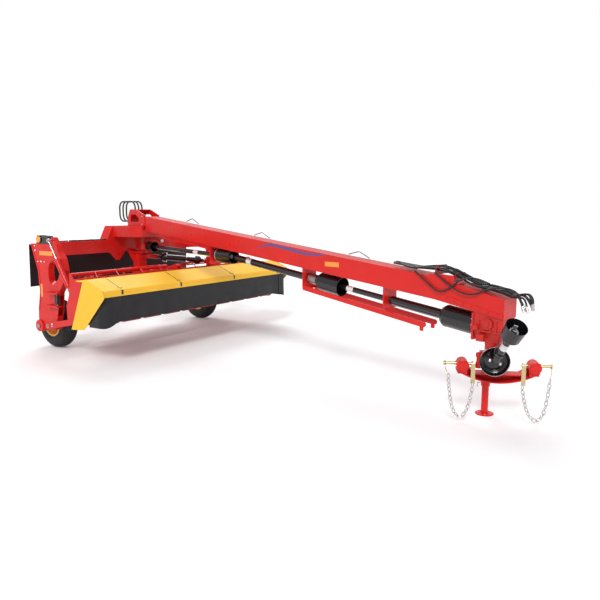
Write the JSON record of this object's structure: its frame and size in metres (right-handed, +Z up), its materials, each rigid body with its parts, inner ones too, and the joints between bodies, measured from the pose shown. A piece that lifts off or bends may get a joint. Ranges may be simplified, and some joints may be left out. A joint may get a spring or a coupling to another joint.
{
  "type": "mower conditioner",
  "caption": "Towed centre-pivot mower conditioner with a swinging tongue, raised disc header under a hood and curtain, swivel hitch and jack stand.",
  "frame": {"origin": "on the ground under the middle of the footprint", "axes": "+X to the machine's right, +Y forward in the direction of travel, +Z up"},
  "size_m": [4.144, 7.5421, 2.251],
  "materials": {
    "red_paint": "gloss enamel",
    "red_casting": "gloss enamel over rough casting",
    "dark_red_paint": "satin enamel",
    "yellow_rim_paint": "gloss enamel",
    "yellow_hood": "smooth semi-gloss",
    "black_sheet": "satin",
    "black_plastic": "semi-gloss moulded",
    "amber_lens": "moulded lens",
    "curtain_rubber": "reinforced rubber sheet",
    "tyre_rubber": "ribbed flotation tyre",
    "bare_steel": "machined",
    "black_paint": "satin enamel",
    "chrome_rod": "polished",
    "zinc_plate": "yellow zinc plate",
    "roll_rubber": "ribbed rubber",
    "hose_rubber": "smooth hose rubber"
  },
  "bodies": {
    "trail_frame": {"cross_beam": "red_paint", "leg_right": "red_paint", "leg_left": "red_paint", "wheel_spindles": "bare_steel", "center_post": "red_paint", "rear_shield": "black_sheet", "lamp_housings": "black_plastic", "lamp_lenses": "amber_lens"},
    "tongue": {"tongue_beam": "red_paint", "tongue_head": "red_paint", "swivel_gearbox": "red_casting", "front_gearbox": "red_casting", "driveline_bells": "black_plastic", "driveline_brackets": "red_paint", "hose_bracket": "red_paint", "head_hoses": "hose_rubber"},
    "swing_barrel": {"swing_barrel": "red_paint"},
    "swing_rod": {"swing_rod": "chrome_rod"},
    "driveline_rear": {"driveline_rear": "black_paint"},
    "driveline_middle": {"driveline_middle": "black_paint"},
    "driveline_front": {"driveline_front": "black_paint"},
    "hitch": {"hitch_housing": "red_paint", "hitch_crossbar": "red_paint", "hitch_pins": "zinc_plate", "pto_cone": "black_plastic"},
    "pto_drive": {"pto_shaft": "black_paint", "pto_bell": "black_plastic"},
    "jack": {"jack_leg": "red_paint"},
    "wheel_right": {"rim_right": "yellow_rim_paint", "tyre_right": "tyre_rubber"},
    "wheel_left": {"rim_left": "yellow_rim_paint", "tyre_left": "tyre_rubber"},
    "lift_arms": {"lift_arms": "red_paint"},
    "top_link": {"top_link": "red_paint"},
    "lift_barrels": {"lift_barrels": "red_paint"},
    "lift_rods": {"lift_rods": "chrome_rod"},
    "header": {"header_frame": "red_paint", "cutterbar": "dark_red_paint", "conditioner_housing": "red_paint", "end_shields": "yellow_hood", "hood_rear": "yellow_hood", "header_gearbox": "red_casting"},
    "header_shaft": {"header_shaft": "black_paint"},
    "header_shaft_slide": {"header_shaft_slide": "black_paint"},
    "hood_door": {"hood_door": "yellow_hood", "door_curtain": "curtain_rubber"},
    "roll_lower": {"roll_lower": "roll_rubber"},
    "roll_upper": {"roll_upper": "roll_rubber"},
    "cutting_disc_01": {"cutting_disc_01": "bare_steel"},
    "cutting_disc_02": {"cutting_disc_02": "bare_steel"},
    "cutting_disc_03": {"cutting_disc_03": "bare_steel"},
    "cutting_disc_04": {"cutting_disc_04": "bare_steel"},
    "cutting_disc_05": {"cutting_disc_05": "bare_steel"},
    "cutting_disc_06": {"cutting_disc_06": "bare_steel"},
    "cutting_disc_07": {"cutting_disc_07": "bare_steel"},
    "cutting_disc_08": {"cutting_disc_08": "bare_steel"},
    "cutting_disc_09": {"cutting_disc_09": "bare_steel"},
    "cutting_disc_10": {"cutting_disc_10": "bare_steel"}
  },
  "joints": [
    {"name": "tongue_swing", "type": "hinge", "parent": "trail_frame", "child": "tongue", "pos_m": [0, -3.107, 1.83], "axis": [0, 0, 1], "range_deg": [-24.6, 45.4]},
    {"name": "swing_barrel_turn", "type": "hinge", "parent": "trail_frame", "child": "swing_barrel", "pos_m": [-0.76, -3.369, 1.582], "axis": [0, 0, 1], "range_deg": [-3.07, 5.25]},
    {"name": "swing_rod_slide", "type": "slide", "parent": "swing_barrel", "child": "swing_rod", "axis": [0.7264, 0.6873, 0], "range_m": [-0.28088, 0.15357]},
    {"name": "driveline_rear_spin", "type": "hinge", "parent": "tongue", "child": "driveline_rear", "pos_m": [0.03701, -2.90537, 1.492], "axis": [0.1804, 0.9832, -0.0291], "continuous": true},
    {"name": "driveline_middle_spin", "type": "hinge", "parent": "tongue", "child": "driveline_middle", "pos_m": [0.44588, -0.67758, 1.424], "axis": [0.1791, 0.976, -0.1235], "continuous": true},
    {"name": "driveline_front_spin", "type": "hinge", "parent": "tongue", "child": "driveline_front", "pos_m": [0.77443, 1.11252, 1.2], "axis": [0.1791, 0.976, -0.1235], "continuous": true},
    {"name": "hitch_turn", "type": "hinge", "parent": "tongue", "child": "hitch", "pos_m": [1.16796, 3.25671, 0.8], "axis": [0, 0, 1], "range_deg": [-30, 140]},
    {"name": "pto_fold", "type": "hinge", "parent": "hitch", "child": "pto_drive", "pos_m": [1.42799, 3.34936, 0.66], "axis": [0.3959, -0.8647, 0.309], "range_deg": [-55, 0]},
    {"name": "jack_slide", "type": "slide", "parent": "hitch", "child": "jack", "axis": [0, 0, 1], "range_m": [0, 0.22]},
    {"name": "wheel_right_spin", "type": "hinge", "parent": "trail_frame", "child": "wheel_right", "pos_m": [1.57, -3.277, 0.38], "axis": [1, 0, 0], "continuous": true},
    {"name": "wheel_left_spin", "type": "hinge", "parent": "trail_frame", "child": "wheel_left", "pos_m": [-1.57, -3.277, 0.38], "axis": [1, 0, 0], "continuous": true},
    {"name": "header_lift", "type": "hinge", "parent": "trail_frame", "child": "lift_arms", "pos_m": [0, -3.047, 0.4], "axis": [1, 0, 0], "range_deg": [-40.4, 0]},
    {"name": "header_level", "type": "hinge", "parent": "lift_arms", "child": "header", "pos_m": [0, -2.40894, 0.52403], "axis": [1, 0, 0], "range_deg": [0, 40.4]},
    {"name": "top_link_turn", "type": "hinge", "parent": "trail_frame", "child": "top_link", "pos_m": [0, -2.922, 1.062], "axis": [1, 0, 0], "range_deg": [-40.4, 0]},
    {"name": "lift_barrel_turn", "type": "hinge", "parent": "header", "child": "lift_barrels", "pos_m": [0, -2.372, 0.86], "axis": [1, 0, 0], "range_deg": [-13.53, 0.3]},
    {"name": "lift_rod_slide", "type": "slide", "parent": "lift_barrels", "child": "lift_rods", "axis": [0, -0.5459, 0.8378], "range_m": [-0.003, 0.3701]},
    {"name": "header_shaft_turn", "type": "hinge", "parent": "trail_frame", "child": "header_shaft", "pos_m": [-0.19, -2.892, 1.3], "axis": [-0.7704, -0.6294, 0.1019], "range_deg": [-0.3, 32.83]},
    {"name": "header_shaft_extend", "type": "slide", "parent": "header_shaft", "child": "header_shaft_slide", "axis": [-0.6372, 0.7658, -0.0872], "range_m": [-0.003, 0.11758]},
    {"name": "hood_door_hinge", "type": "hinge", "parent": "header", "child": "hood_door", "pos_m": [0, -1.892, 1.16], "axis": [1, 0, 0], "range_deg": [0, 50]},
    {"name": "cutting_disc_01_spin", "type": "hinge", "parent": "header", "child": "cutting_disc_01", "pos_m": [-1.764, -1.927, 0.602], "axis": [0, 0, 1], "continuous": true},
    {"name": "cutting_disc_02_spin", "type": "hinge", "parent": "header", "child": "cutting_disc_02", "pos_m": [-1.372, -1.927, 0.602], "axis": [0, 0, 1], "continuous": true},
    {"name": "cutting_disc_03_spin", "type": "hinge", "parent": "header", "child": "cutting_disc_03", "pos_m": [-0.98, -1.927, 0.602], "axis": [0, 0, 1], "continuous": true},
    {"name": "cutting_disc_04_spin", "type": "hinge", "parent": "header", "child": "cutting_disc_04", "pos_m": [-0.588, -1.927, 0.602], "axis": [0, 0, 1], "continuous": true},
    {"name": "cutting_disc_05_spin", "type": "hinge", "parent": "header", "child": "cutting_disc_05", "pos_m": [-0.196, -1.927, 0.602], "axis": [0, 0, 1], "continuous": true},
    {"name": "cutting_disc_06_spin", "type": "hinge", "parent": "header", "child": "cutting_disc_06", "pos_m": [0.196, -1.927, 0.602], "axis": [0, 0, 1], "continuous": true},
    {"name": "cutting_disc_07_spin", "type": "hinge", "parent": "header", "child": "cutting_disc_07", "pos_m": [0.588, -1.927, 0.602], "axis": [0, 0, 1], "continuous": true},
    {"name": "cutting_disc_08_spin", "type": "hinge", "parent": "header", "child": "cutting_disc_08", "pos_m": [0.98, -1.927, 0.602], "axis": [0, 0, 1], "continuous": true},
    {"name": "cutting_disc_09_spin", "type": "hinge", "parent": "header", "child": "cutting_disc_09", "pos_m": [1.372, -1.927, 0.602], "axis": [0, 0, 1], "continuous": true},
    {"name": "cutting_disc_10_spin", "type": "hinge", "parent": "header", "child": "cutting_disc_10", "pos_m": [1.764, -1.927, 0.602], "axis": [0, 0, 1], "continuous": true},
    {"name": "roll_lower_spin", "type": "hinge", "parent": "header", "child": "roll_lower", "pos_m": [0, -2.387, 0.69], "axis": [1, 0, 0], "continuous": true},
    {"name": "roll_upper_spin", "type": "hinge", "parent": "header", "child": "roll_upper", "pos_m": [0, -2.347, 0.925], "axis": [1, 0, 0], "continuous": true}
  ],
  "couplings": [
    {"joint": "swing_barrel_turn", "follows": "tongue_swing", "ratio": 0.10461},
    {"joint": "swing_rod_slide", "follows": "tongue_swing", "m_per_rad": -0.35069},
    {"joint": "driveline_middle_spin", "follows": "driveline_rear_spin", "ratio": 1},
    {"joint": "driveline_front_spin", "follows": "driveline_rear_spin", "ratio": 1},
    {"joint": "header_level", "follows": "header_lift", "ratio": -1},
    {"joint": "top_link_turn", "follows": "header_lift", "ratio": 1},
    {"joint": "lift_barrel_turn", "follows": "header_lift", "ratio": 0.32753},
    {"joint": "lift_rod_slide", "follows": "header_lift", "m_per_rad": -0.52063},
    {"joint": "header_shaft_turn", "follows": "header_lift", "ratio": -0.8053},
    {"joint": "header_shaft_extend", "follows": "header_lift", "m_per_rad": -0.16249},
    {"joint": "cutting_disc_02_spin", "follows": "cutting_disc_01_spin", "ratio": -1},
    {"joint": "cutting_disc_03_spin", "follows": "cutting_disc_01_spin", "ratio": 1},
    {"joint": "cutting_disc_04_spin", "follows": "cutting_disc_01_spin", "ratio": -1},
    {"joint": "cutting_disc_05_spin", "follows": "cutting_disc_01_spin", "ratio": 1},
    {"joint": "cutting_disc_06_spin", "follows": "cutting_disc_01_spin", "ratio": -1},
    {"joint": "cutting_disc_07_spin", "follows": "cutting_disc_01_spin", "ratio": 1},
    {"joint": "cutting_disc_08_spin", "follows": "cutting_disc_01_spin", "ratio": -1},
    {"joint": "cutting_disc_09_spin", "follows": "cutting_disc_01_spin", "ratio": 1},
    {"joint": "cutting_disc_10_spin", "follows": "cutting_disc_01_spin", "ratio": -1},
    {"joint": "roll_upper_spin", "follows": "roll_lower_spin", "ratio": -1}
  ]
}
